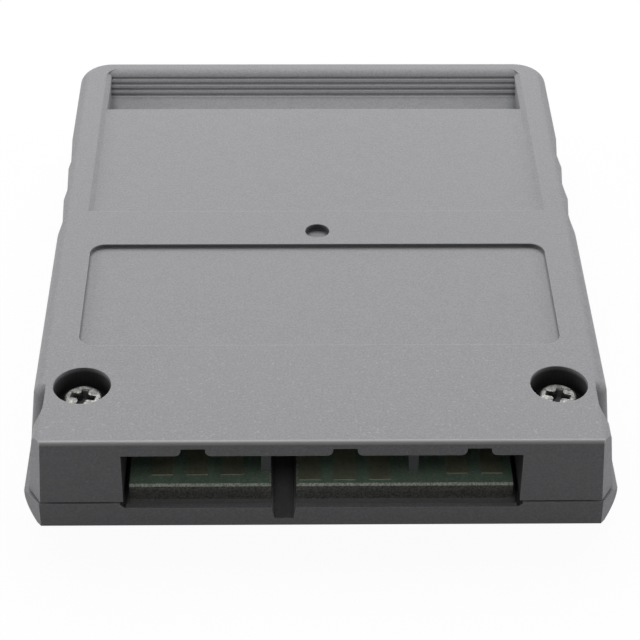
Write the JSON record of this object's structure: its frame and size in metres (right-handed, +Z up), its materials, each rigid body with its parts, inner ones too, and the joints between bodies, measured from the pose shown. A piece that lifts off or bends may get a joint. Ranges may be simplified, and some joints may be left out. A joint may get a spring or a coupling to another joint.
{
  "type": "console memory card",
  "caption": "Flat plastic game memory card: two-part screwed case with a ribbed finger recess, side latch notches and a keyed window over the board's edge contacts.",
  "frame": {"origin": "middle of the card's footprint, on the plane of its label side, which is the lowest face", "axes": "+Z up out of the screw side, +Y from the connector end to the grip end, +X to the right when the connector end faces the viewer"},
  "size_m": [0.0442, 0.056, 0.008],
  "materials": {
    "case_plastic": "fine moulded texture",
    "screw_steel": "nickel plated",
    "board_laminate": "solder mask",
    "contact_gold": "gold plated",
    "chip_black": "moulded epoxy",
    "lead_tin": "tinned",
    "capacitor_tan": "fired ceramic",
    "resistor_black": "fired ceramic"
  },
  "bodies": {
    "root": {"back_cover": "case_plastic", "front_cover": "case_plastic", "circuit_board": "board_laminate", "case_screws": "screw_steel", "contact_1": "contact_gold", "contact_2": "contact_gold", "contact_3": "contact_gold", "contact_4": "contact_gold", "contact_5": "contact_gold", "contact_6": "contact_gold", "contact_7": "contact_gold", "contact_8": "contact_gold", "flash_memory_body": "chip_black", "flash_memory_leads": "lead_tin", "controller_body": "chip_black", "controller_leads": "lead_tin", "regulator_body": "chip_black", "regulator_leads": "lead_tin", "capacitor_1": "capacitor_tan", "capacitor_2": "capacitor_tan", "capacitor_3": "capacitor_tan", "capacitor_4": "capacitor_tan", "capacitor_5": "capacitor_tan", "resistor_1": "resistor_black", "resistor_2": "resistor_black", "resistor_3": "resistor_black", "resistor_4": "resistor_black", "resistor_5": "resistor_black", "resistor_6": "resistor_black"}
  },
  "joints": []
}
